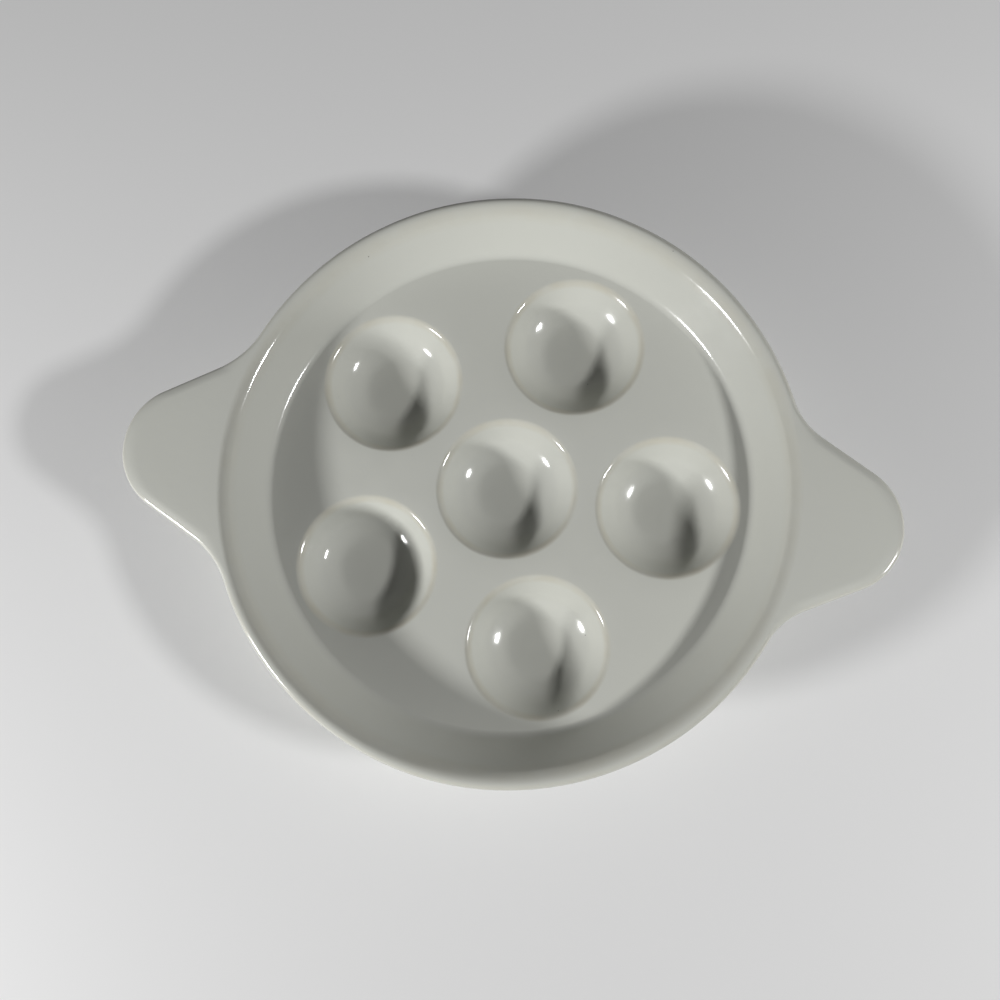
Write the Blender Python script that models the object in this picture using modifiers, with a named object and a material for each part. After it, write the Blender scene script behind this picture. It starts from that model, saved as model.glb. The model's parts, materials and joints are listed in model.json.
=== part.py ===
"""An escargot dish: six round wells in a flat floor, a sloping wall that rolls over into a thin lip, two flat
ears and a foot ring. The porcelain casting is parted along its natural lines into named solids.

Metres, +Z up. The origin is on the table, on the dish's axis. +X runs through an ear and one outer well.
"""

from math import atan, atan2, cos, pi, radians, sin, sqrt, tan

import bmesh
import bpy

# Wells. The dish is laid out from its wells outwards, so a larger snail makes a larger dish.
OUTER_WELLS = 5
WELL_MOUTH = 0.0201  # radius at the floor, where the rolled lip becomes flat
WELL_DEPTH = 0.0090
WELL_LIP_ROLL = 0.0018  # radius of the rounded lip
WELL_WALL = 0.0040
WELL_AIR = 0.0016  # between a well's underside and the table

# Floor
WELL_LAND = 0.0043  # least width of floor between two wells
WALL_LAND = 0.0013  # width of floor between an outer well and the wall
FLOOR_THICK = 0.0045

# Wall and lip
RIM_RISE = 0.0115  # top of the lip above the floor
WALL_SLOPE = radians(53.5)
WALL_THICK = 0.0060
CORNER_ROLL = 0.0025  # hollow corner between floor and wall
SHOULDER_ROLL = 0.0055  # round shoulder where the wall rolls over into the lip
LIP_EDGE = 0.0017  # rounded top edge of the lip
LIP_UNDER = 0.0030  # rounded lower edge of the lip

# Ears
LUG_REACH = 0.0254  # from the rim's outer edge to the tip
LUG_TIP = 0.0171  # radius of the rounded tip
LUG_FLANK = radians(29.4)  # between the ear's axis and its straight sides
LUG_FILLET = 0.0244  # hollow curve between a side and the rim
LUG_THICK = 0.0052
LUG_EDGE_ROLL = 0.0017

# Foot ring
FOOT_WIDTH = 0.0044
FOOT_TAPER = 0.0006  # lean of each side of the ring, from its top to its edge bevel
FOOT_EDGE = 0.0006

# Gap that parts two neighbouring solids
SEAM = 0.0003

# Facets
TURN_STEPS = 72
WELL_STEPS = 32
ROLL_STEPS = 3
BOWL_STEPS = 5
MERGE = 0.00001
FLAT_JOIN = radians(1)  # faces that meet at less are one flat face
SMOOTH_JOIN = radians(40)  # faces that meet at less are shaded as one curve
ROLLED_EDGE = radians(60)  # edges sharper than this are rounded on an ear

# Places that follow from these sizes
WELL_SPACING = 2 * WELL_MOUTH + WELL_LAND
WELL_PITCH = max(WELL_SPACING, WELL_SPACING / (2 * sin(pi / OUTER_WELLS)))
FLOOR_EDGE = WELL_PITCH + WELL_MOUTH + WALL_LAND
FLOOR_TOP = WELL_AIR + WELL_WALL + WELL_DEPTH
FLOOR_UNDER = FLOOR_TOP - FLOOR_THICK
RIM_TOP = FLOOR_TOP + RIM_RISE
ROLL_DROP = (CORNER_ROLL + SHOULDER_ROLL) * (1 - cos(WALL_SLOPE))
ROLL_RUN = (CORNER_ROLL + SHOULDER_ROLL) * sin(WALL_SLOPE)
LIP_CREST = FLOOR_EDGE + ROLL_RUN + (RIM_RISE - ROLL_DROP) / tan(WALL_SLOPE)
RIM_RADIUS = LIP_CREST + LIP_EDGE
WELL_PLACES = [(0.0, 0.0)] + [
    (WELL_PITCH * cos(2 * pi * k / OUTER_WELLS), WELL_PITCH * sin(2 * pi * k / OUTER_WELLS))
    for k in range(OUTER_WELLS)
]

# Finishes
GLAZE_WHITE = (0.78, 0.77, 0.74, 1)
GLAZE_ROUGHNESS = 0.12
BISQUE_CREAM = (0.74, 0.70, 0.63, 1)
BISQUE_ROUGHNESS = 0.75


def clear_scene():
    for obj in list(bpy.data.objects):
        bpy.data.objects.remove(obj, do_unlink=True)


def collection(name, is_helper=False):
    made = bpy.data.collections.new(name)
    made.hide_render = is_helper
    bpy.context.scene.collection.children.link(made)
    return made


def material(name, colour, roughness):
    made = bpy.data.materials.new(name)
    made.use_nodes = True
    shader = made.node_tree.nodes["Principled BSDF"]
    shader.inputs["Base Color"].default_value = colour
    shader.inputs["Roughness"].default_value = roughness
    shader.inputs["Metallic"].default_value = 0.0
    made.diffuse_color = colour
    return made


def arc(centre, radius, start, end, steps):
    """Points on a circular arc, both ends included."""
    angles = [start + (end - start) * k / steps for k in range(steps + 1)]
    return [(centre[0] + radius * cos(a), centre[1] + radius * sin(a)) for a in angles]


def turned_mesh(name, profile, is_ring):
    """A profile of (radius, height) points in the XZ plane, as edges for a Screw modifier."""
    edges = [(k, k + 1) for k in range(len(profile) - 1)]
    if is_ring:
        edges.append((len(profile) - 1, 0))
    mesh = bpy.data.meshes.new(name)
    mesh.from_pydata([(x, 0.0, z) for x, z in profile], edges, [])
    return mesh


def add_part(name, mesh, home):
    made = bpy.data.objects.new(name, mesh)
    home.objects.link(made)
    return made


def add_cutter(name, mesh, home):
    made = add_part(name, mesh, home)
    made.hide_render = True
    made.display_type = "WIRE"
    return made


def turn(obj, steps):
    screw = obj.modifiers.new("turn", "SCREW")
    screw.steps = steps
    screw.render_steps = steps
    screw.merge_threshold = MERGE
    screw.use_merge_vertices = True
    screw.use_smooth_shade = True


def cut(obj, cutter, operation="DIFFERENCE"):
    boolean = obj.modifiers.new(operation.lower() + "_" + cutter.name, "BOOLEAN")
    boolean.operation = operation
    boolean.object = cutter


def plate_mesh(name, outline, low, high):
    """A flat outline made solid between two heights, by a filled 2D curve."""
    curve = bpy.data.curves.new(name, "CURVE")
    curve.dimensions = "2D"
    curve.fill_mode = "BOTH"
    curve.extrude = (high - low) / 2
    spline = curve.splines.new("POLY")
    spline.points.add(len(outline) - 1)
    for point, (x, y) in zip(spline.points, outline):
        point.co = (x, y, 0, 1)
    spline.use_cyclic_u = True
    guide = bpy.data.objects.new(name, curve)
    bpy.context.scene.collection.objects.link(guide)
    graph = bpy.context.evaluated_depsgraph_get()
    mesh = bpy.data.meshes.new_from_object(guide.evaluated_get(graph))
    bpy.data.objects.remove(guide, do_unlink=True)
    shape = bmesh.new()
    shape.from_mesh(mesh)
    bmesh.ops.remove_doubles(shape, verts=shape.verts, dist=MERGE)
    bmesh.ops.dissolve_limit(shape, angle_limit=FLAT_JOIN, verts=shape.verts, edges=shape.edges)
    bmesh.ops.translate(shape, verts=shape.verts, vec=(0, 0, (low + high) / 2))
    bmesh.ops.recalc_face_normals(shape, faces=shape.faces)
    shape.to_mesh(mesh)
    shape.free()
    mesh.name = name
    return mesh


def drill_mesh(name, radius, depth):
    """A plain cylinder about the origin."""
    shape = bmesh.new()
    bmesh.ops.create_cone(
        shape, cap_ends=True, segments=WELL_STEPS, radius1=radius, radius2=radius, depth=depth
    )
    mesh = bpy.data.meshes.new(name)
    shape.to_mesh(mesh)
    shape.free()
    return mesh


def well_profile():
    """From the centre of the bowl, over the lip, down the outside to the centre underneath."""
    lip_turn = 2 * atan(WELL_DEPTH / WELL_MOUTH)
    bowl = WELL_MOUTH / sin(lip_turn) - WELL_LIP_ROLL
    centre = (0.0, FLOOR_TOP - WELL_DEPTH + bowl)
    lip_centre = (WELL_MOUTH, FLOOR_TOP - WELL_LIP_ROLL)
    inside = arc(centre, bowl, -pi / 2, lip_turn - pi / 2, BOWL_STEPS)
    lip = arc(lip_centre, WELL_LIP_ROLL, pi / 2 + lip_turn, pi / 2, ROLL_STEPS)
    shell = bowl + WELL_WALL
    meet = atan2(-sqrt(shell**2 - WELL_MOUTH**2), WELL_MOUTH)
    outside = arc(centre, shell, meet, -pi / 2, BOWL_STEPS)
    return inside[:-1] + lip + outside


def wall_profile():
    """Section of the side: over the lip, down outside, along the underside, up the floor's edge and back."""
    corner_centre = (FLOOR_EDGE, FLOOR_TOP + CORNER_ROLL)
    corner = arc(corner_centre, CORNER_ROLL, -pi / 2, WALL_SLOPE - pi / 2, ROLL_STEPS)
    shoulder_centre = (LIP_CREST, RIM_TOP - SHOULDER_ROLL)
    shoulder = arc(shoulder_centre, SHOULDER_ROLL, pi / 2 + WALL_SLOPE, pi / 2, 2 * ROLL_STEPS)
    edge = arc((LIP_CREST, RIM_TOP - LIP_EDGE), LIP_EDGE, pi / 2, 0.0, ROLL_STEPS)
    # The outer side runs parallel to the inner one, WALL_THICK away.
    side_radius = corner[-1][0] + WALL_THICK * sin(WALL_SLOPE)
    side_height = corner[-1][1] - WALL_THICK * cos(WALL_SLOPE)
    widest = side_height + (RIM_RADIUS - side_radius) * tan(WALL_SLOPE)
    under_height = widest + LIP_UNDER * tan((pi / 2 - WALL_SLOPE) / 2)
    under = arc((RIM_RADIUS - LIP_UNDER, under_height), LIP_UNDER, 0.0, WALL_SLOPE - pi / 2, ROLL_STEPS)
    outer_root = (side_radius - (side_height - FLOOR_UNDER) / tan(WALL_SLOPE), FLOOR_UNDER)
    inner_root = (FLOOR_EDGE, FLOOR_UNDER)
    return shoulder + edge[1:] + under + [outer_root, inner_root] + corner


def foot_profile():
    """Section of the foot ring, with small bevels beside the standing face."""
    top = FLOOR_UNDER - SEAM
    inner = FLOOR_EDGE
    outer = inner + FOOT_WIDTH
    return [
        (outer, top),
        (outer - FOOT_TAPER, FOOT_EDGE),
        (outer - FOOT_TAPER - FOOT_EDGE, 0.0),
        (inner + FOOT_TAPER + FOOT_EDGE, 0.0),
        (inner + FOOT_TAPER, FOOT_EDGE),
        (inner, top),
    ]


def lug_side():
    """The upper half of an ear's outline, from the tip back to where it runs into the rim's circle.

    It is the tip's arc, a straight side and a hollow fillet that touches the side and the rim.
    """
    tip_centre = RIM_RADIUS + LUG_REACH - LUG_TIP
    normal = pi / 2 - LUG_FLANK
    tip = arc((tip_centre, 0.0), LUG_TIP, 0.0, normal, 3 * ROLL_STEPS)
    # The fillet's centre lies LUG_FILLET outside the side and outside the rim.
    across = tip_centre * cos(normal) + LUG_TIP + LUG_FILLET
    along = sqrt((RIM_RADIUS + LUG_FILLET) ** 2 - across**2)
    centre = (
        across * cos(normal) + along * sin(normal),
        across * sin(normal) - along * cos(normal),
    )
    root = atan2(centre[1], centre[0])
    fillet = arc(centre, LUG_FILLET, normal + pi, root + pi, 2 * ROLL_STEPS)
    return tip, fillet, root


def mirrored(points):
    return [(x, -y) for x, y in reversed(points)]


def sector(inner, outer, half_angle, steps):
    """A flat outline between two radii, symmetric about +X."""
    inside = arc((0.0, 0.0), inner, half_angle, -half_angle, steps)
    outside = arc((0.0, 0.0), outer, -half_angle, half_angle, steps)
    return inside + outside


def smooth(mesh):
    mesh.shade_smooth()
    mesh.set_sharp_from_angle(angle=SMOOTH_JOIN)


def make_floor(parts, cutters):
    """A disc with a round hole for each well."""
    edge = FLOOR_EDGE - SEAM
    profile = [(0.0, FLOOR_TOP), (edge, FLOOR_TOP), (edge, FLOOR_UNDER), (0.0, FLOOR_UNDER)]
    mesh = turned_mesh("floor", profile, is_ring=False)
    mesh.materials.append(material("floor_glaze", GLAZE_WHITE, GLAZE_ROUGHNESS))
    floor = add_part("floor", mesh, parts)
    turn(floor, TURN_STEPS)
    drill = drill_mesh("well_hole", WELL_MOUTH + SEAM, 3 * FLOOR_THICK)
    for number, (x, y) in enumerate(WELL_PLACES):
        hole = add_cutter(f"well_hole_{number}", drill, cutters)
        hole.location = (x, y, FLOOR_TOP)
        cut(floor, hole)


def make_wells(parts):
    """One cup, placed once in the middle and then round it."""
    mesh = turned_mesh("well", well_profile(), is_ring=False)
    mesh.materials.append(material("well_glaze", GLAZE_WHITE, GLAZE_ROUGHNESS))
    for number, (x, y) in enumerate(WELL_PLACES):
        well = add_part(f"well_{number}" if number else "well_centre", mesh, parts)
        well.location = (x, y, 0.0)
        turn(well, WELL_STEPS)


def make_foot(parts):
    mesh = turned_mesh("foot_ring", foot_profile(), is_ring=True)
    mesh.materials.append(material("foot_bisque", BISQUE_CREAM, BISQUE_ROUGHNESS))
    foot = add_part("foot_ring", mesh, parts)
    turn(foot, TURN_STEPS)


def make_rim(parts):
    mesh = turned_mesh("rim_wall", wall_profile(), is_ring=True)
    mesh.materials.append(material("wall_glaze", GLAZE_WHITE, GLAZE_ROUGHNESS))
    rim = add_part("rim_wall", mesh, parts)
    turn(rim, TURN_STEPS)
    return rim


def make_lugs(parts, cutters, rim):
    """An ear on each side, which sits in a rebate of the rim's lip."""
    finish = material("lug_glaze", GLAZE_WHITE, GLAZE_ROUGHNESS)
    tip, fillet, root = lug_side()
    # Past its root and inside the lip the outline runs on, so that the rolled edge's ends are cut away.
    spare = 3 * LUG_EDGE_ROLL
    end = root + spare / RIM_RADIUS
    run_on = [(radius * cos(end), radius * sin(end)) for radius in (RIM_RADIUS, LIP_CREST - spare)]
    half = tip + fillet + run_on
    outline = half + mirrored(half)[:-1]
    low = RIM_TOP - LUG_THICK
    above = RIM_TOP + LUG_THICK
    far = RIM_RADIUS + 2 * LUG_REACH
    seat = sector(LIP_CREST + SEAM, far, root - SEAM / RIM_RADIUS, TURN_STEPS // 4)
    rebate = sector(LIP_CREST, far, root, TURN_STEPS // 4)
    for name, facing in (("lug_right", 0.0), ("lug_left", pi)):
        keep = add_cutter(name + "_seat", plate_mesh(name + "_seat", seat, low - LUG_THICK, above), cutters)
        notch = add_cutter(name + "_rebate", plate_mesh(name + "_rebate", rebate, low - SEAM, above), cutters)
        lug = add_part(name, plate_mesh(name, outline, low, RIM_TOP), parts)
        lug.data.materials.append(finish)
        smooth(lug.data)
        edge = lug.modifiers.new("edge_roll", "BEVEL")
        edge.width = LUG_EDGE_ROLL
        edge.segments = ROLL_STEPS
        edge.limit_method = "ANGLE"
        edge.angle_limit = ROLLED_EDGE
        cut(lug, keep, "INTERSECT")
        cut(rim, notch)
        for obj in (keep, notch, lug):
            obj.rotation_euler.z = facing


def main():
    clear_scene()
    parts = collection("escargot_dish")
    cutters = collection("cutters", is_helper=True)
    make_floor(parts, cutters)
    make_wells(parts)
    make_foot(parts)
    rim = make_rim(parts)
    make_lugs(parts, cutters, rim)


main()
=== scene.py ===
# %% [markdown]
# # An escargot dish in white porcelain
# The dish is one casting: a flat floor with six cups, a sloping wall with a rolled lip, two flat ears and a
# foot ring. It is pressed, dipped in glaze and fired. The frame holds its solids at their real size, in
# metres, with +Z up and +X through the right ear. This lesson puts a smooth glazed skin on them.

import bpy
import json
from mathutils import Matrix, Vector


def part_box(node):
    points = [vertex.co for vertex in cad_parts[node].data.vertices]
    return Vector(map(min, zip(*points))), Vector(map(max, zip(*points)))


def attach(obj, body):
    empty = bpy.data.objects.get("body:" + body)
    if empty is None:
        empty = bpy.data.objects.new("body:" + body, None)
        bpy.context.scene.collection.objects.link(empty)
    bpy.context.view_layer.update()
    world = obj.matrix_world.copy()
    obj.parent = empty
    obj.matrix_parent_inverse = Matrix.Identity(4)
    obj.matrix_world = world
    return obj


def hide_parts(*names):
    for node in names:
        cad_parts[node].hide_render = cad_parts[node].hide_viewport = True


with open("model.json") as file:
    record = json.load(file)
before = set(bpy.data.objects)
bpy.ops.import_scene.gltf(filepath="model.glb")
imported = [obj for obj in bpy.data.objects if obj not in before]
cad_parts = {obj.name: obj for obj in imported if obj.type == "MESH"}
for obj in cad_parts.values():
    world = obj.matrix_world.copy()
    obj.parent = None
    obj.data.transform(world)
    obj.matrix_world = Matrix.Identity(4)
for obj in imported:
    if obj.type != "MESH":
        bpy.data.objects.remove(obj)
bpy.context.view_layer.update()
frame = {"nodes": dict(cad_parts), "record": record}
print("frame nodes:", sorted(frame["nodes"]))

# %% [markdown]
# ## Sizes
# The frame already knows where everything is, so heights and radii are read from its boxes. Only what a box
# can't tell, such as the radius of a rolled edge, is written here.

# %% Sizes read from the frame
import json
from math import atan, atan2, cos, pi, radians, sin, sqrt, tan

import bmesh
import bpy
from mathutils import Matrix, Vector, noise
from mathutils.geometry import delaunay_2d_cdt
from mathutils.kdtree import KDTree

seam = 0.0003  # gap between two solids of the frame, which the glaze closes
floor_low, floor_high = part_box("floor")
rim_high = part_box("rim_wall")[1]
foot_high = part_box("foot_ring")[1]
ear_low, ear_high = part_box("lug_right")
floor_top = floor_high.z
floor_under = floor_low.z
floor_edge = floor_high.x + seam
rim_top = rim_high.z
rim_radius = rim_high.y
ear_tip = ear_high.x
ear_thick = ear_high.z - ear_low.z
print(f"rim {2000 * rim_radius:.1f} mm across, {1000 * (rim_top - floor_top):.1f} mm above the floor")

# %% Places of the cups
cup_names = ["well_centre"] + [f"well_{k}" for k in range(1, 6)]
cup_boxes = [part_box(name) for name in cup_names]
cup_places = [((low + high) / 2).to_2d() for low, high in cup_boxes]
cup_mouth = (cup_boxes[0][1].x - cup_boxes[0][0].x) / 2
cup_under = cup_boxes[0][0].z
cup_wall = 0.0040  # thickness of porcelain under a cup
cup_depth = floor_top - cup_under - cup_wall
print(f"cups {2000 * cup_mouth:.1f} mm across and {1000 * cup_depth:.1f} mm deep")

# %% [markdown]
# ## Uneven by hand
# No two wet castings come out of the mould alike. Sponging and firing leave the surface gently wavy, by about
# a tenth of a millimetre, and that is what bends the long reflections in the glaze. A bump texture could
# fake it, but then the outline of a highlight and the mesh would disagree. So each point is moved by a slow
# noise field. The field depends on the place alone, so two pieces that share a point move it the same way.

# %% The wavy field
wave_height = 0.00009
wave_length = 0.024
wave_seed = 5  # without one, the field would be another on every run
settled_height = 0.010  # the foot stays true, so that the dish stands flat
noise.seed_set(wave_seed)


def by_hand(x, y, z):
    """Where a point of the drawing ends up on the fired dish."""
    free = min(max(z / settled_height, 0.0), 1.0)
    drift = noise.noise_vector(Vector((x, y, z)) / wave_length)
    return Vector((x, y, z)) + wave_height * free * free * drift


drawn = Vector((0, rim_radius, rim_top))
print(f"a point of the lip moves by {1e6 * (by_hand(*drawn) - drawn).length:.0f} thousandths of a millimetre")

# %% [markdown]
# ## Drawing the outline
# Seen from above the dish is a circle with two ears. An ear is a round tip, two straight sides and a hollow
# curve that runs into the rim. The ears were trimmed by hand: the left one is a little longer with wider
# hollows, and both lean towards the near side. The length from tip to tip is the frame's. A walk round that
# outline gives stations, each with a point, the direction that faces outwards there and a share that says how
# much of an ear it is. Everything that goes round the dish is drawn at these same stations, so that
# neighbouring surfaces share their points.

# %% One half of an ear
tip_steps = 18
flank_steps = 8
hollow_steps = 18


def ear_half(reach, tip_radius, flank, fillet):
    """Stations from the tip of an ear on +X to its root on the rim: x, y, outward angle, ear share."""
    side = pi / 2 - flank
    tip_centre = reach - tip_radius
    across = tip_centre * cos(side) + tip_radius + fillet
    along = sqrt((rim_radius + fillet) ** 2 - across**2)
    hollow = Vector((across * cos(side) + along * sin(side), across * sin(side) - along * cos(side)))
    root = atan2(hollow.y, hollow.x)
    made = []
    for k in range(tip_steps + 1):
        turn = side * k / tip_steps
        made.append((tip_centre + tip_radius * cos(turn), tip_radius * sin(turn), turn, 1.0))
    start = Vector(made[-1][:2])
    end = hollow - fillet * Vector((cos(side), sin(side)))
    for k in range(1, flank_steps):
        x, y = start.lerp(end, k / flank_steps)
        made.append((x, y, side, 1.0))
    for k in range(hollow_steps + 1):
        turn = side + (root - side) * k / hollow_steps
        share = 1 - k / hollow_steps
        share = share * share * (3 - 2 * share)
        made.append((hollow.x - fillet * cos(turn), hollow.y - fillet * sin(turn), turn, share))
    return made


# %% The whole outline
longer = 0.0006  # the left ear's reach over the middle of the two
right_shape = (ear_tip - longer, 0.0175, radians(28.6), 0.0182)
left_shape = (ear_tip + longer, 0.0181, radians(29.4), 0.0243)
right_turn = radians(-0.73)
left_turn = radians(180.97)
rim_steps = 84  # stations on each bare stretch of rim


def whole_ear(shape, place):
    """Stations from one root over the tip to the other root, for an ear that points to an angle."""
    half = ear_half(*shape)
    other_half = [(x, -y, -turn, share) for x, y, turn, share in half[:0:-1]]
    made = []
    for x, y, turn, share in other_half + half:
        moved = Matrix.Rotation(place, 2) @ Vector((x, y))
        made.append((moved.x, moved.y, turn + place, share))
    return made


def bare_rim(start, end):
    """Stations between two roots, without the roots themselves."""
    made = []
    for k in range(1, rim_steps):
        turn = start + (end - start) * k / rim_steps
        made.append((rim_radius * cos(turn), rim_radius * sin(turn), turn, 0.0))
    return made


right_ear = whole_ear(right_shape, right_turn)
left_ear = whole_ear(left_shape, left_turn)
far_rim = bare_rim(right_ear[-1][2], left_ear[0][2])
near_rim = bare_rim(left_ear[-1][2], right_ear[0][2] + 2 * pi)
outline = right_ear + far_rim + left_ear + near_rim
station_turns = [atan2(y, x) for x, y, turn, share in outline]
print(len(outline), "stations round the dish")

# %% [markdown]
# ## One skin for the whole casting
# The skin is drawn as rows of points joined by quads. It is first made as a single closed surface, because
# the real one is, and because only then do the normals run smoothly from the floor into a cup or an ear.
# Each face remembers which piece of the dish it belongs to, and each point how thin the glaze is there:
# molten glaze runs off a convex edge, which is why such edges look creamier and a little darker.

# %% Tools for drawing a skin
piece_names = ["floor", *cup_names, "rim_wall", "lug_right", "lug_left", "foot_ring"]
casting = bmesh.new()
owner = casting.faces.layers.int.new("owner")
thin_glaze = casting.verts.layers.float.new("thin_glaze")
inner_faces = {name: [] for name in piece_names}


def draw(rows, piece, is_loop=True):
    """Quads between neighbouring rows of (x, y, z, thin glaze). A loop joins each row's end to its start."""
    rings = []
    for row in rows:
        ring = [casting.verts.new(by_hand(*p[:3])) for p in row]
        for vert, p in zip(ring, row):
            vert[thin_glaze] = p[3]
        rings.append(ring)
    for low, high in zip(rings, rings[1:]):
        for k in range(len(low) if is_loop else len(low) - 1):
            after = (k + 1) % len(low)
            face = casting.faces.new((low[k], low[after], high[after], high[k]))
            face[owner] = piece_names.index(piece)


def hide_between(row, other, piece, neighbour, is_loop=True):
    """Faces inside the porcelain, where two pieces part. Each of the two gets its own copy.

    Going along the row, seen from outside the first piece, the other row lies on the left.
    """
    for k in range(len(row) if is_loop else len(row) - 1):
        after = (k + 1) % len(row)
        wall = [by_hand(*p[:3]) for p in (row[k], row[after], other[after], other[k])]
        inner_faces[piece].append(wall)
        inner_faces[neighbour].append(wall[::-1])


def turned_row(radius, height, thin=0.0):
    """A row right round the dish at the outline's stations."""
    return [(radius * cos(turn), radius * sin(turn), height, thin) for turn in station_turns]


def arc(centre, radius, start, end, steps):
    """Points (radius, height) along a circular arc, both ends included."""
    turns = [start + (end - start) * k / steps for k in range(steps + 1)]
    return [(centre[0] + radius * cos(t), centre[1] + radius * sin(t)) for t in turns]


print("pieces to draw:", piece_names)

# %% [markdown]
# ## The sloping wall
# The streaks of light on the wall show where it turns. It curves out of the corner, rises in a straight slope
# for half of the way, and then rolls over in a shoulder that ends level at the lip. A streak tells the slope
# at its place, so the profile is plainest as a list of slopes: degrees at shares of the way. It is walked
# from slope to slope, and its height is then fitted to the frame.

# %% Walk along a list of slopes
softening = 0.012  # corners of a list are rounded over this share of the way


def slope_at(slopes, share):
    """The slope in radians at a share of the way, straight between the listed ones."""
    for (before, low), (after, high) in zip(slopes, slopes[1:]):
        if share <= after:
            return radians(low + (high - low) * (share - before) / (after - before))
    return radians(slopes[-1][1])


def walk(slopes, run, rise, steps):
    """Points (way, height) along a run, fitted to a rise."""
    points = [(0.0, 0.0)]
    for k in range(steps):
        share = (k + 0.5) / steps
        near = [min(max(share + softening * d, 0.0), 1.0) for d in (-1, 0, 1)]
        slope = sum(slope_at(slopes, n) for n in near) / len(near)
        points.append(((k + 1) / steps * run, points[-1][1] + tan(slope) * run / steps))
    stretch = rise / points[-1][1]
    print(f"the listed slopes climb {1000 * points[-1][1]:.2f} mm, and the frame says {1000 * rise:.2f} mm")
    return [(way, height * stretch) for way, height in points]


# %% Draw the wall
lip_edge = 0.0017
lip_crest = rim_radius - lip_edge
wall_slopes = [(0, 0), (0.07, 29), (0.13, 44), (0.18, 50), (0.72, 50), (0.745, 46.5), (0.768, 40)]
wall_slopes += [(0.82, 34.5), (0.88, 27), (0.94, 15.5), (1, 0)]
wall_steps = 64
shoulder_zone = 0.62  # from this share of the way on, the glaze runs thin

wall = [
    (floor_edge + way, floor_top + height)
    for way, height in walk(wall_slopes, lip_crest - floor_edge, rim_top - floor_top, wall_steps)
]
rows = []
for k, (radius, height) in enumerate(wall):
    share = k / wall_steps
    thin = sin(pi * (share - shoulder_zone) / (1 - shoulder_zone)) if share > shoulder_zone else 0.0
    rows.append(turned_row(radius, height, thin))
draw(rows, "rim_wall")
print(f"wall of {len(rows)} rows up to {1000 * wall[-1][1]:.1f} mm")

# %% [markdown]
# ## The lip and the ears
# On bare rim the lip ends in a small round edge and runs down into the outer side. At an ear the top goes on
# outwards, level and then gently falling, to a rounded edge of its own. Both are the same section with other
# numbers, so every station blends between the two by its ear share, and the ear grows out of the rim without
# a seam.

# %% The outer side
side_slope = radians(53.5)
wall_thick = 0.0060
corner_roll = 0.0025
side_radius = floor_edge + (corner_roll + wall_thick) * sin(side_slope)
side_level = floor_top + corner_roll - (corner_roll + wall_thick) * cos(side_slope)


def side_height(radius):
    """Height of the outer side at a radius. It runs nearly parallel to the wall inside."""
    return side_level + (radius - side_radius) * tan(side_slope)


side_foot = side_radius - (side_level - floor_under) / tan(side_slope)
print(f"the outer side meets the foot at radius {1000 * side_foot:.1f} mm")

# %% Section at one station
lip_under = 0.0030
lip_waist = rim_top - side_height(rim_radius) - lip_under * tan((pi / 2 - side_slope) / 2)
ear_edge = 0.0014
ear_fall = 0.0036  # the top of an ear falls off gently over this width, so its edge takes the light softly
fall_limit = 0.6  # where the top is short, it falls off over this share of it
ear_lean = radians(14)  # its slope where the round edge begins
level_steps = 3
fall_steps = 4
flat_steps = level_steps + fall_steps
edge_steps = 8
under_steps = 12
ear_under_steps = 8  # of these, the ones that belong to the ear
under_fillet = 0.0040


def mix(lip, ear, share):
    return lip + (ear - lip) * share


def soft_least(a, b, reach):
    """The smaller of two heights, with a rounded corner where they cross."""
    near = max(reach - abs(a - b), 0.0) / reach
    return min(a, b) - near * near * reach / 4


def top_points(crest, end, share):
    """From the crest of the lip outwards over the top of an ear: first level, then gently falling off."""
    length = (end - crest).length
    fall = min(ear_fall, fall_limit * length)
    ways = [(length - fall) * k / level_steps for k in range(level_steps)]
    ways += [length - fall + fall * k / fall_steps for k in range(fall_steps + 1)]
    made = []
    for way in ways:
        part = max(way - length + fall, 0.0) / fall if fall else 0.0
        spot = crest.lerp(end, way / length if length else 0.0)
        made.append((spot.x, spot.y, rim_top - fall / 2 * tan(ear_lean * share) * part * part, 0.0))
    return made


def edge_points(x, y, turn, share, top):
    """Over the rounded edge, from a height on the top to the underside: a top roll and a lower roll."""
    made = []
    roll = mix(lip_edge, ear_edge, share)
    lean = ear_lean * share
    for k in range(edge_steps + 1):
        bend = lean + (pi / 2 - lean) * k / edge_steps
        drop = rim_top - top + roll * (cos(lean) - cos(bend))
        made.append((roll * (1 - sin(bend)), drop, sin(2 * bend)))
    for k in range(edge_steps + 1):
        lip_bend = (pi / 2 - side_slope) * k / edge_steps
        ear_bend = pi / 2 * k / edge_steps
        inwards = mix(lip_under * (1 - cos(lip_bend)), ear_edge * (1 - cos(ear_bend)), share)
        lip_drop = lip_waist + lip_under * sin(lip_bend)
        ear_drop = ear_thick - ear_edge * (1 - sin(ear_bend))
        made.append((inwards, mix(lip_drop, ear_drop, share), 0.0))
    return [(x - i * cos(turn), y - i * sin(turn), rim_top - drop, thin) for i, drop, thin in made]


def under_points(start, station_turn, share):
    """From the edge inwards along the underside, and down the outer side to the foot."""
    made = []
    for k in range(1, under_steps + 1):
        way = k / under_steps
        x = start[0] + (side_foot * cos(station_turn) - start[0]) * way
        y = start[1] + (side_foot * sin(station_turn) - start[1]) * way
        side = side_height(sqrt(x * x + y * y))
        height = mix(side, soft_least(side, rim_top - ear_thick, under_fillet), share)
        made.append((x, y, height, 0.0))
    return made


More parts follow.
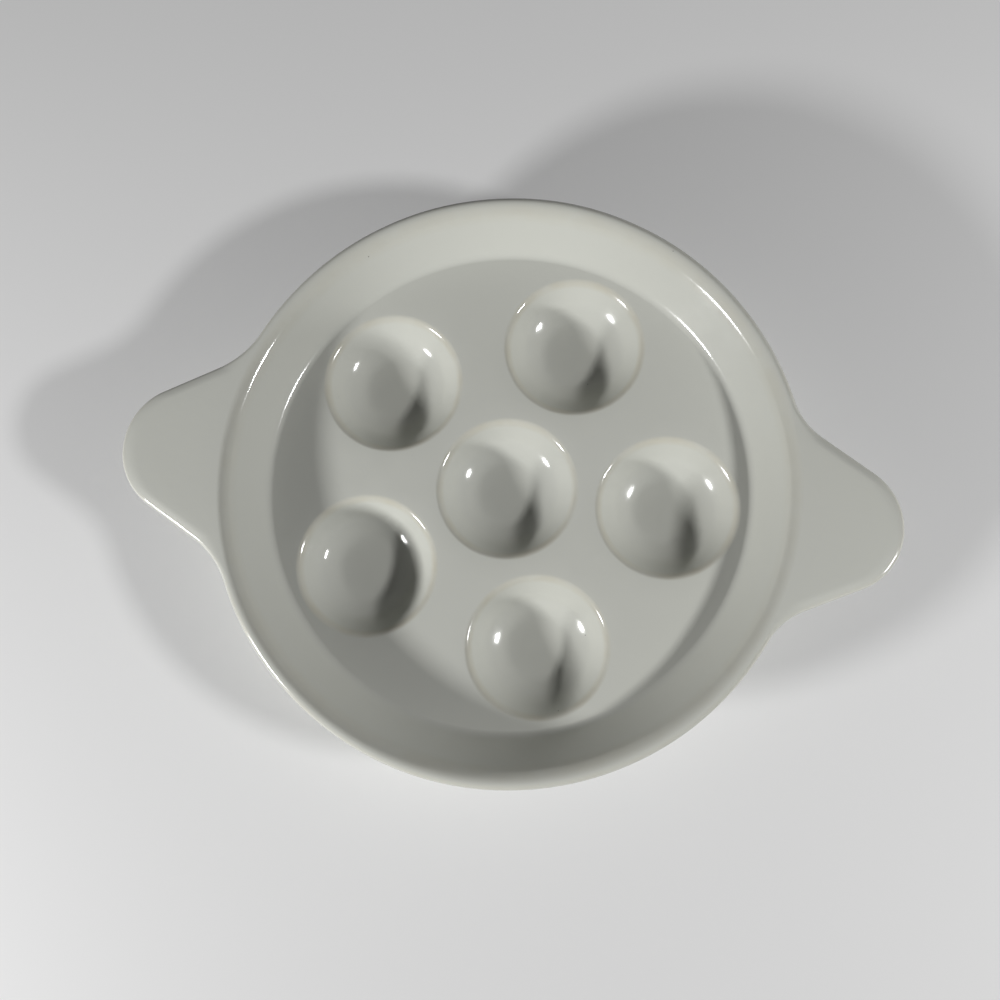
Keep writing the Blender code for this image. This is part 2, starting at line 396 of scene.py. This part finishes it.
def section(station):
    """All points from the crest of the lip to the foot: the flat top, the edge and the underside."""
    x, y, turn, share = station
    station_turn = atan2(y, x)
    crest = Vector((lip_crest * cos(station_turn), lip_crest * sin(station_turn)))
    edge_start = mix(lip_edge, ear_edge, share) * (1 - sin(ear_lean * share))
    top = top_points(crest, Vector((x, y)) - edge_start * Vector((cos(turn), sin(turn))), share)
    edge = edge_points(x, y, turn, share, top[-1][2])
    return top[:-1], edge, under_points(edge[-1], station_turn, share)


sections = [section(station) for station in outline]
print(len(sections), "sections of", sum(len(points) for points in sections[0]), "points")

# %% Draw the bare rim
ear_ends = {"lug_right": (0, len(right_ear) - 1)}
left_start = len(right_ear) + rim_steps - 1
ear_ends["lug_left"] = (left_start, left_start + len(left_ear) - 1)
last = len(outline)
for start, end in ((ear_ends["lug_right"][1], left_start), (ear_ends["lug_left"][1], last)):
    stretch = [sections[k % last] for k in range(start, end + 1)]
    draw(list(zip(*[edge + under for flat, edge, under in stretch])), "rim_wall", is_loop=False)
print("bare rim between stations", ear_ends)

# %% Draw the ears
for name, (start, end) in ear_ends.items():
    stretch = sections[start:end + 1]
    ear_columns = [flat + edge + under[:ear_under_steps] for flat, edge, under in stretch]
    side_columns = [under[ear_under_steps - 1:] for flat, edge, under in stretch]
    draw(list(zip(*ear_columns)), name, is_loop=False)
    draw(list(zip(*side_columns)), "rim_wall", is_loop=False)
    crest_row = [column[0] for column in ear_columns]
    under_row = [column[-1] for column in ear_columns]
    hide_between(crest_row, under_row, name, "rim_wall", is_loop=False)
    for column, is_start in ((ear_columns[0], True), (ear_columns[-1], False)):
        cap = [by_hand(*p[:3]) for p in column[flat_steps:]]
        inner_faces[name].append(cap[::-1] if is_start else cap)
        inner_faces["rim_wall"].append(cap if is_start else cap[::-1])
    print(name, "drawn from", len(stretch), "stations")

# %% [markdown]
# ## The foot ring
# Under the tray a ring lifts the cups clear of the table. Its outer side carries on from the dish's side in a
# hollow curve, and its standing face was wiped clean of glaze so that it wouldn't stick to the kiln shelf.

# %% Profile of the foot
foot_outer = foot_high.x
foot_width = 0.0044
foot_lean = 0.0006
foot_edge = 0.0008
foot_fillet_out = 0.0030
foot_fillet_in = 0.0010
fillet_out_steps = 6
fillet_in_steps = 4


def foot_profile():
    """From the dish's side, down the outside, across the standing face and up to the floor's underside."""
    hollow = (side_foot + foot_fillet_out * sin(side_slope), floor_under - foot_fillet_out * cos(side_slope))
    outside = arc(hollow, foot_fillet_out, pi / 2 + side_slope, pi, fillet_out_steps)
    outer = outside[-1][0] - foot_lean
    inner = foot_outer - foot_width + foot_lean
    outer_edge = arc((outer - foot_edge, foot_edge), foot_edge, 0, -pi / 2, fillet_in_steps)
    inner_edge = arc((inner + foot_edge, foot_edge), foot_edge, -pi / 2, -pi, fillet_in_steps)
    top = (inner - foot_lean - foot_fillet_in, floor_under - foot_fillet_in)
    inside = arc(top, foot_fillet_in, 0, pi / 2, fillet_in_steps)
    return outside + outer_edge + inner_edge + inside


foot = foot_profile()
draw([turned_row(radius, height) for radius, height in foot], "foot_ring")
hide_between(turned_row(*foot[0]), turned_row(*foot[-1]), "foot_ring", "rim_wall")
hide_between(turned_row(*wall[0]), turned_row(*foot[-1]), "rim_wall", "floor")
print(f"foot ring from {2000 * foot[-1][0]:.1f} to {2000 * foot[0][0]:.1f} mm across")

# %% [markdown]
# ## The cups
# A cup isn't quite part of a ball. The two small highlights in it are drawn out sideways, so its side curves
# up tightly out of a shallow bottom, stays steep, and turns out level over a rolled lip. That is a list of
# slopes again. The underside doesn't show, and is a plain ball shape with a small fillet.

# %% Profile of a cup
cup_slopes = [(0, 0), (0.24, 1), (0.38, 5), (0.44, 13), (0.50, 23), (0.57, 29.5), (0.65, 34.5), (0.68, 38)]
cup_slopes += [(0.72, 43.5), (0.77, 48), (0.83, 50), (0.89, 51), (0.925, 46), (0.96, 28), (1, 0)]
bulge_fillet = 0.0012
bulge_inset = 0.0005  # the underside starts a little further in than the mouth
bulge_mouth = cup_mouth - bulge_inset
cup_steps = 80
bowl_steps = 80
lip_zone = 0.88  # from this share of the mouth on, the glaze runs thin
bulge_fillet_steps = 6
ball_steps = 14


def ball_dip(mouth, height, depth, roll):
    """A ball-shaped dip with a rolled edge, from its mouth to just beside its deepest point."""
    meet = 2 * atan(depth / mouth)
    ball = mouth / sin(meet) - roll
    edge = arc((mouth, height - roll), roll, pi / 2, pi / 2 + meet, bulge_fillet_steps)
    bowl = arc((0.0, height - depth + ball), ball, meet - pi / 2, -pi / 2, ball_steps)
    return edge + bowl[1:-1]


def cup_row(place, radius, height, thin=0.0):
    turns = [2 * pi * k / cup_steps for k in range(cup_steps)]
    return [(place.x + radius * cos(t), place.y + radius * sin(t), height, thin) for t in turns]


bowl = walk(cup_slopes, cup_mouth, cup_depth, bowl_steps)
bowl = [(way, floor_top - cup_depth + height) for way, height in reversed(bowl)][:-1]
bulge = ball_dip(bulge_mouth, floor_under, floor_under - cup_under, bulge_fillet)
print(f"a cup has {len(bowl)} rows inside and {len(bulge)} outside")

# %% Draw the cups


def close_pole(piece, place, row, height):
    """A fan of triangles over the last small ring."""
    pole = casting.verts.new(by_hand(place.x, place.y, height))
    ring = [casting.verts.new(by_hand(*p[:3])) for p in row]
    for k in range(cup_steps):
        face = casting.faces.new((ring[k], ring[(k + 1) % cup_steps], pole))
        face[owner] = piece_names.index(piece)


for name, place in zip(cup_names, cup_places):
    rows = []
    for radius, height in bowl:
        share = radius / cup_mouth
        thin = sin(pi * (share - lip_zone) / (1 - lip_zone)) if share > lip_zone else 0.0
        rows.append(cup_row(place, radius, height, thin))
    draw(rows, name)
    close_pole(name, place, rows[-1], floor_top - cup_depth)
    under_rows = [cup_row(place, radius, height) for radius, height in bulge]
    draw(under_rows, name)
    close_pole(name, place, under_rows[-1], cup_under)
    hide_between(under_rows[0], rows[0], name, "floor")
print(len(cup_names), "cups drawn")

# %% [markdown]
# ## The floor
# The floor is a flat sheet with six holes, above and below. A single face with holes isn't possible, and a
# plain fill gives long slivers. Here a loose grid of points is laid over it and everything is joined into
# even triangles, with the rims of the cups kept as they are.

# %% Fill the floor
floor_grid = 0.0048
floor_clear = 0.45 * floor_grid  # least distance of a grid point from an edge
fill_tolerance = 1e-7


def fill_floor(edge_row, hole_radius, height):
    """Triangles between the floor's outer row and the cups' mouths."""
    loops = [edge_row] + [cup_row(place, hole_radius, height) for place in cup_places]
    spots = []
    edges = []
    for loop in loops:
        first = len(spots)
        spots += [Vector(p[:2]) for p in loop]
        edges += [(first + k, first + (k + 1) % len(loop)) for k in range(len(loop))]
    reach = Vector(edge_row[0][:2]).length
    lines = int(reach / floor_grid)
    for row in range(-lines, lines + 1):
        for column in range(-lines, lines + 1):
            spot = Vector((column + 0.5 * (row % 2), row * sqrt(3) / 2)) * floor_grid
            gap = min((spot - place).length for place in cup_places) - hole_radius
            if gap > floor_clear and reach - spot.length > floor_clear:
                spots.append(spot)
    filled = delaunay_2d_cdt(spots, edges, [], 1, fill_tolerance)
    verts = [casting.verts.new(by_hand(p.x, p.y, height)) for p in filled[0]]
    for corners in filled[2]:
        middle = sum((filled[0][c] for c in corners), Vector((0.0, 0.0))) / 3
        if min((middle - place).length for place in cup_places) > hole_radius * cos(pi / cup_steps):
            face = casting.faces.new([verts[c] for c in corners])
            face[owner] = piece_names.index("floor")


fill_floor(turned_row(*wall[0]), cup_mouth, floor_top)
fill_floor(turned_row(*foot[-1]), bulge_mouth, floor_under)
print("floor filled;", len(casting.faces), "faces so far")

# %% [markdown]
# ## Closing the skin and parting it again
# Rows drawn apart share their end points, so those are merged. A closed skin has two faces at every edge,
# which is quick to test. Then each piece takes its own faces along with the normals of the whole, and the
# walls inside the porcelain close it into a solid.

# %% Close the skin
merge_distance = 0.000002
bmesh.ops.remove_doubles(casting, verts=casting.verts, dist=merge_distance)
bmesh.ops.dissolve_degenerate(casting, edges=casting.edges, dist=merge_distance)
bmesh.ops.recalc_face_normals(casting, faces=casting.faces)
casting.normal_update()
open_edges = [edge for edge in casting.edges if len(edge.link_faces) != 2]
print(len(casting.faces), "faces,", len(open_edges), "open edges")

# %% Part it into pieces
finder = KDTree(len(casting.verts))
casting.verts.ensure_lookup_table()
for vert in casting.verts:
    finder.insert(vert.co, vert.index)
finder.balance()


def corners_of(wall):
    """The casting's own points at the corners of an inner face, each once."""
    found = [casting.verts[finder.find(corner)[1]] for corner in wall]
    return list(dict.fromkeys(found))


def take_piece(name):
    """One piece as a closed mesh. Its skin is shaded with the normals of the whole casting."""
    number = piece_names.index(name)
    skin = [list(face.verts) for face in casting.faces if face[owner] == number]
    inner = [corners_of(wall) for wall in inner_faces[name]]
    inner = [corners for corners in inner if len(corners) > 2]
    verts = list(dict.fromkeys(vert for corners in skin + inner for vert in corners))
    place = {vert: k for k, vert in enumerate(verts)}
    mesh = bpy.data.meshes.new(name)
    faces = [[place[vert] for vert in corners] for corners in skin + inner]
    mesh.from_pydata([vert.co for vert in verts], [], faces)
    is_skin = [True] * len(skin) + [False] * len(inner)
    mesh.polygons.foreach_set("use_smooth", is_skin)
    thin = mesh.attributes.new("thin_glaze", "FLOAT", "POINT")
    thin.data.foreach_set("value", [vert[thin_glaze] for vert in verts])
    normals = []
    for face, shown in zip(mesh.polygons, is_skin):
        normals += [verts[v].normal if shown else Vector() for v in face.vertices]
    mesh.normals_split_custom_set(normals)
    return mesh


print(sum(len(walls) for walls in inner_faces.values()), "inner faces to share out")

# %% Make the pieces
shown_names = {"floor": "glazed_floor", "rim_wall": "glazed_wall", "foot_ring": "wiped_foot"}
shown_names |= {"lug_right": "ear_right", "lug_left": "ear_left", "well_centre": "cup_centre"}
shown_names |= {f"well_{k}": f"cup_{k}" for k in range(1, 6)}
pieces = {}
for name in piece_names:
    piece = bpy.data.objects.new(shown_names[name], take_piece(name))
    bpy.context.scene.collection.objects.link(piece)
    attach(piece, "root")
    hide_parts(name)
    pieces[name] = piece
    check = bmesh.new()
    check.from_mesh(piece.data)
    loose = sum(len(edge.link_faces) != 2 for edge in check.edges)
    volume = 1e6 * check.calc_volume(signed=True)
    print(f"{piece.name}: {len(check.faces)} faces, {loose} open edges, {volume:.1f} ml")
    check.free()
casting.free()

# %% [markdown]
# ## The glaze
# White tableware glaze is a clear, glossy coat over a pale body. Up close it is never one colour. It is a
# shade creamier where it ran thin over an edge, it clouds a little over a hand's width, its surface has a
# faint peel, and here and there a grain of iron fired through as a dark speck. Every glazed piece shows all
# of these, so each effect is a node group that is built once. The groups read the place in the dish's own
# frame, so the effects run on from piece to piece.

# %% A helper for node groups


def node_group(name, inputs, outputs):
    """An empty shader group with its sockets: (name, kind, start value) and (name, kind)."""
    group = bpy.data.node_groups.new(name, "ShaderNodeTree")
    for socket, kind, value in inputs:
        made = group.interface.new_socket(socket, in_out="INPUT", socket_type=kind)
        made.default_value = value
    for socket, kind in outputs:
        group.interface.new_socket(socket, in_out="OUTPUT", socket_type=kind)
    return group, group.nodes.new("NodeGroupInput"), group.nodes.new("NodeGroupOutput")


def textured(group, kind, scale, **settings):
    """A texture node that reads the place in the dish's frame, in metres."""
    place = group.nodes.new("ShaderNodeTexCoord")
    texture = group.nodes.new(kind)
    texture.inputs["Scale"].default_value = scale
    for key, value in settings.items():
        texture.inputs[key].default_value = value
    group.links.new(place.outputs["Object"], texture.inputs["Vector"])
    return texture


def ranged(group, source, low, high, to_low, to_high):
    """A value stretched from one range to another, and held there."""
    node = group.nodes.new("ShaderNodeMapRange")
    for key, value in (("From Min", low), ("From Max", high), ("To Min", to_low), ("To Max", to_high)):
        node.inputs[key].default_value = value
    group.links.new(source, node.inputs["Value"])
    return node.outputs["Result"]


def mixed(group, factor, first, second, blend="MIX"):
    """Two colours mixed by a factor. Each may be a socket or a plain colour."""
    node = group.nodes.new("ShaderNodeMix")
    node.data_type = "RGBA"
    node.blend_type = blend
    for socket, value in ((node.inputs["Factor"], factor), (node.inputs[6], first), (node.inputs[7], second)):
        if isinstance(value, bpy.types.NodeSocket):
            group.links.new(value, socket)
        else:
            socket.default_value = value
    return node.outputs[2]


def multiplied(group, first, second):
    node = group.nodes.new("ShaderNodeMath")
    node.operation = "MULTIPLY"
    node.use_clamp = True
    for socket, value in zip(node.inputs, (first, second)):
        if isinstance(value, bpy.types.NodeSocket):
            group.links.new(value, socket)
        else:
            socket.default_value = value
    return node.outputs["Value"]


print("node helpers ready")

# %% Group: glaze colour
run_scale = 140  # waves of a texture per metre
cloud_scale = 26
colour_inputs = [
    ("Glaze", "NodeSocketColor", (0.8, 0.8, 0.8, 1)),
    ("Thin Glaze", "NodeSocketColor", (0.7, 0.7, 0.6, 1)),
    ("Thinning", "NodeSocketFloat", 1.0),
    ("Clouding", "NodeSocketFloat", 0.05),
]
glaze_colour, given, put_out = node_group("glaze_colour", colour_inputs, [("Colour", "NodeSocketColor")])
thin_mask = glaze_colour.nodes.new("ShaderNodeAttribute")
thin_mask.attribute_name = "thin_glaze"
runs = textured(glaze_colour, "ShaderNodeTexNoise", run_scale, Detail=3.0)
uneven = ranged(glaze_colour, runs.outputs["Fac"], 0.3, 0.65, 0.35, 1)
thin_runs = multiplied(glaze_colour, thin_mask.outputs["Fac"], uneven)
thin_amount = multiplied(glaze_colour, thin_runs, given.outputs["Thinning"])
two_tone = mixed(glaze_colour, thin_amount, given.outputs["Glaze"], given.outputs["Thin Glaze"])
clouds = textured(glaze_colour, "ShaderNodeTexNoise", cloud_scale, Detail=2.0)
cloud_mask = ranged(glaze_colour, clouds.outputs["Fac"], 0.35, 0.7, 0, 1)
cloud_amount = multiplied(glaze_colour, cloud_mask, given.outputs["Clouding"])
clouded = mixed(glaze_colour, cloud_amount, two_tone, given.outputs["Thin Glaze"])
glaze_colour.links.new(clouded, put_out.inputs["Colour"])
print("group:", glaze_colour.name)

# %% Group: fired specks
grain_scale = 62
speck_inputs = [("Size", "NodeSocketFloat", 0.016)]
fired_specks, given, put_out = node_group("fired_specks", speck_inputs, [("Mask", "NodeSocketFloat")])
grains = textured(fired_specks, "ShaderNodeTexVoronoi", grain_scale)
soft_edge = fired_specks.nodes.new("ShaderNodeMapRange")
soft_edge.interpolation_type = "SMOOTHSTEP"
soft_edge.inputs["To Min"].default_value = 1.0
soft_edge.inputs["To Max"].default_value = 0.0
fired_specks.links.new(grains.outputs["Distance"], soft_edge.inputs["Value"])
fired_specks.links.new(given.outputs["Size"], soft_edge.inputs["From Max"])
fired_specks.links.new(soft_edge.outputs["Result"], put_out.inputs["Mask"])
print("group:", fired_specks.name)

# %% Group: glaze surface
sheen_scale = 60
peel_scale = 420
surface_inputs = [("Dullest", "NodeSocketFloat", 0.16), ("Glossiest", "NodeSocketFloat", 0.08)]
surface_outputs = [("Roughness", "NodeSocketFloat"), ("Height", "NodeSocketFloat")]
glaze_surface, given, put_out = node_group("glaze_surface", surface_inputs, surface_outputs)
patches = textured(glaze_surface, "ShaderNodeTexNoise", sheen_scale, Detail=4.0)
sheen = glaze_surface.nodes.new("ShaderNodeMapRange")
sheen.inputs["From Min"].default_value = 0.35
sheen.inputs["From Max"].default_value = 0.7
glaze_surface.links.new(patches.outputs["Fac"], sheen.inputs["Value"])
glaze_surface.links.new(given.outputs["Glossiest"], sheen.inputs["To Min"])
glaze_surface.links.new(given.outputs["Dullest"], sheen.inputs["To Max"])
peel = textured(glaze_surface, "ShaderNodeTexNoise", peel_scale, Detail=2.0)
glaze_surface.links.new(sheen.outputs["Result"], put_out.inputs["Roughness"])
glaze_surface.links.new(peel.outputs["Fac"], put_out.inputs["Height"])
print("group:", glaze_surface.name)

# %% [markdown]
# ## Glazed materials
# All the glazed pieces come out of one bucket, so their white is the same. What differs is how the glaze
# lay: it thins most on the lips of the cups and the edge of the rim, and clouds most where it pooled.

# %% Make a glazed material
glaze_white = (0.634, 0.642, 0.590, 1)
glaze_cream = (0.590, 0.575, 0.490, 1)
speck_brown = (0.060, 0.045, 0.035, 1)
glaze_ior = 1.52
peel_height = 0.00002


def glaze_nodes(material, thinning, clouding):
    """Adds the three groups to a material and joins them to its shader."""
    tree = material.node_tree
    shader = tree.nodes["Principled BSDF"]
    placed = {}
    for group in (glaze_colour, fired_specks, glaze_surface):
        node = tree.nodes.new("ShaderNodeGroup")
        node.node_tree = group
        placed[group.name] = node
    colour = placed["glaze_colour"]
    colour.inputs["Glaze"].default_value = glaze_white
    colour.inputs["Thin Glaze"].default_value = glaze_cream
    colour.inputs["Thinning"].default_value = thinning
    colour.inputs["Clouding"].default_value = clouding
    speckled = mixed(tree, placed["fired_specks"].outputs["Mask"], colour.outputs["Colour"], speck_brown)
    bump = tree.nodes.new("ShaderNodeBump")
    bump.inputs["Distance"].default_value = peel_height
    tree.links.new(placed["glaze_surface"].outputs["Height"], bump.inputs["Height"])
    tree.links.new(bump.outputs["Normal"], shader.inputs["Normal"])
    tree.links.new(speckled, shader.inputs["Base Color"])
    tree.links.new(placed["glaze_surface"].outputs["Roughness"], shader.inputs["Roughness"])
    shader.inputs["IOR"].default_value = glaze_ior
    return shader, speckled, placed


def glazed(name, thinning, clouding):
    material = bpy.data.materials.new(name)
    material.use_nodes = True
    glaze_nodes(material, thinning, clouding)
    return material


finishes = {
    "floor_glaze": glazed("floor_glaze", 0.8, 0.06),
    "well_glaze": glazed("well_glaze", 1.0, 0.10),
    "wall_glaze": glazed("wall_glaze", 0.5, 0.08),
    "lug_glaze": glazed("lug_glaze", 0.4, 0.06),
}
print("glazed materials:", sorted(finishes))

# %% [markdown]
# ## The wiped foot
# The foot is glazed like the rest down to a line just above the table. Below it the bare fired clay shows,
# matt and a little warmer. The line isn't ruled: a sponge left it, so it wanders.

# %% Material of the foot
bisque_cream = (0.70, 0.63, 0.53, 1)
bisque_dark = (0.62, 0.55, 0.45, 1)
bisque_roughness = 0.8
wipe_line = 0.0014
wipe_wander = 0.0010
wipe_blur = 0.0003
sponge_scale = 120
grit_scale = 900

foot_finish = bpy.data.materials.new("foot_bisque")
foot_finish.use_nodes = True
shader, speckled, placed = glaze_nodes(foot_finish, 0.5, 0.08)
tree = foot_finish.node_tree
place = tree.nodes.new("ShaderNodeTexCoord")
split = tree.nodes.new("ShaderNodeSeparateXYZ")
tree.links.new(place.outputs["Object"], split.inputs["Vector"])
sponge = textured(tree, "ShaderNodeTexNoise", sponge_scale, Detail=2.0)
wandering = tree.nodes.new("ShaderNodeMath")
wandering.operation = "MULTIPLY_ADD"
wandering.inputs[1].default_value = wipe_wander
tree.links.new(sponge.outputs["Fac"], wandering.inputs[0])
tree.links.new(split.outputs["Z"], wandering.inputs[2])
bare = ranged(tree, wandering.outputs["Value"], wipe_line, wipe_line + wipe_blur, 1, 0)
grit = textured(tree, "ShaderNodeTexNoise", grit_scale, Detail=4.0)
clay = mixed(tree, grit.outputs["Fac"], bisque_cream, bisque_dark)
tree.links.new(mixed(tree, bare, speckled, clay), shader.inputs["Base Color"])
dull = tree.nodes.new("ShaderNodeMix")
tree.links.new(bare, dull.inputs["Factor"])
tree.links.new(placed["glaze_surface"].outputs["Roughness"], dull.inputs["A"])
dull.inputs["B"].default_value = bisque_roughness
tree.links.new(dull.outputs["Result"], shader.inputs["Roughness"])
finishes["foot_bisque"] = foot_finish
print("foot wiped below", 1000 * wipe_line, "mm")

# %% Give each piece its finish
slots = {part["node"]: part["material_slot"] for part in frame["record"]["subparts"]}
for name, piece in pieces.items():
    piece.data.materials.append(finishes[slots[name]])
print("finishes:", {piece.name: slots[name] for name, piece in pieces.items()})

# %% [markdown]
# ## Table and light
# The dish was photographed by the light of two lamps: a low one on the left towards the viewer, and a higher,
# weaker one on the right. They leave two small highlights in every cup and let one side of each cup fall into
# shade. Soft area lamps at the same places keep both. The table and the room here are plain and pale, but the
# room throws back little light, or the shade in the cups would be lost. So its paleness is only for the rays
# that look at it: those of the camera, and those that the glaze reflects.

# %% Rays that look


def looking_rays(tree):
    """A value of 1 for rays from the camera, or from a reflection or through glass, and 0 for plain light."""
    ray = tree.nodes.new("ShaderNodeLightPath")
    seen = ray.outputs["Is Camera Ray"]
    for kind in ("Is Glossy Ray", "Is Transmission Ray"):
        either = tree.nodes.new("ShaderNodeMath")
        either.operation = "MAXIMUM"
        tree.links.new(seen, either.inputs[0])
        tree.links.new(ray.outputs[kind], either.inputs[1])
        seen = either.outputs["Value"]
    return seen


print("ready to tell looks from light")

# %% A plain table
photo_turn = radians(7.38)  # the ears' axis is turned this much against the picture's lower edge
table_tone = (0.72, 0.72, 0.72, 1)
table_width = 8
table_roughness = 0.9
table_glow = 0.12  # what the camera and the glaze see besides the light that falls on the table
room_paint = 0.5  # far from the lamps the table looks like the room, so that no edge shows
change_from = 0.5  # between these distances from the dish its glow rises to the room's paint
change_to = 1.1

bpy.ops.mesh.primitive_plane_add(size=table_width)
table = bpy.context.object
table.name = "table"
table_finish = bpy.data.materials.new("pale_table")
table_finish.use_nodes = True
tree = table_finish.node_tree
paint = tree.nodes["Principled BSDF"]
paint.inputs["Base Color"].default_value = table_tone
paint.inputs["Roughness"].default_value = table_roughness
paint.inputs["Specular IOR Level"].default_value = 0.0
place = tree.nodes.new("ShaderNodeTexCoord")
away = tree.nodes.new("ShaderNodeVectorMath")
away.operation = "LENGTH"
tree.links.new(place.outputs["Object"], away.inputs[0])
paleness = ranged(tree, away.outputs["Value"], change_from, change_to, table_glow, room_paint)
glow = multiplied(tree, paleness, looking_rays(tree))
tree.links.new(glow, paint.inputs["Emission Strength"])
paint.inputs["Emission Color"].default_value = (1, 1, 1, 1)
table.data.materials.append(table_finish)
print("table of", tuple(table.dimensions)[:2], "m")

# %% Two lamps
lamp_distance = 0.70


def soft_lamp(name, bearing, height, across, watts):
    """A wide oval lamp aimed at the dish. Bearing and height are angles in the picture, in degrees."""
    turn = radians(bearing) + photo_turn
    up = radians(height)
    direction = Vector((cos(turn) * cos(up), sin(turn) * cos(up), sin(up)))
    light = bpy.data.lights.new(name, "AREA")
    light.shape = "ELLIPSE"
    light.size = across
    light.size_y = across / 2
    light.energy = watts
    lamp = bpy.data.objects.new(name, light)
    lamp.location = direction * lamp_distance
    lamp.rotation_euler = direction.to_track_quat("Z", "Y").to_euler()
    bpy.context.scene.collection.objects.link(lamp)


soft_lamp("lamp_left", bearing=209, height=20.5, across=0.125, watts=4.25)
soft_lamp("lamp_right", bearing=-18, height=33.8, across=0.13, watts=2.72)

# %% The room
room_light = 0.012  # what the room adds to the light of the lamps

room = bpy.data.worlds.new("room")
room.use_nodes = True
tree = room.node_tree
lit = tree.nodes["Background"]
lit.inputs["Color"].default_value = (room_light, room_light, room_light, 1)
looked_at = tree.nodes.new("ShaderNodeBackground")
looked_at.inputs["Color"].default_value = (room_paint, room_paint, room_paint, 1)
either = tree.nodes.new("ShaderNodeMixShader")
tree.links.new(looking_rays(tree), either.inputs["Fac"])
tree.links.new(lit.outputs["Background"], either.inputs[1])
tree.links.new(looked_at.outputs["Background"], either.inputs[2])
tree.links.new(either.outputs["Shader"], tree.nodes["World Output"].inputs["Surface"])
bpy.context.scene.world = room
print("the room looks", room_paint, "and gives", room_light)

# %% [markdown]
# ## Camera
# The camera looks almost straight down from about 28 cm, a little from the front and from the right. Its
# place was found by matching the rim, the six cups and the tips of the ears.

# %% Place the camera
view_tilt = radians(7.69)
view_lean = radians(-3.44)
view_distance = 0.2779
dish_right = 0.00197  # how far the floor's middle lies right of and above the picture's middle
dish_up = 0.00327

camera_data = bpy.data.cameras.new("camera")
camera_data.lens = 36
camera_data.sensor_width = 36
camera = bpy.data.objects.new("camera", camera_data)
bpy.context.scene.collection.objects.link(camera)
aim = Matrix.Rotation(-view_tilt, 4, "X") @ Matrix.Rotation(view_lean, 4, "Y")
stand = Matrix.Translation((0, 0, floor_top)) @ Matrix.Rotation(photo_turn, 4, "Z")
camera.matrix_world = stand @ aim.transposed() @ Matrix.Translation((-dish_right, -dish_up, view_distance))
bpy.context.scene.camera = camera
bpy.context.scene.view_settings.view_transform = "Standard"
print("camera at", [round(c, 4) for c in camera.matrix_world.translation])
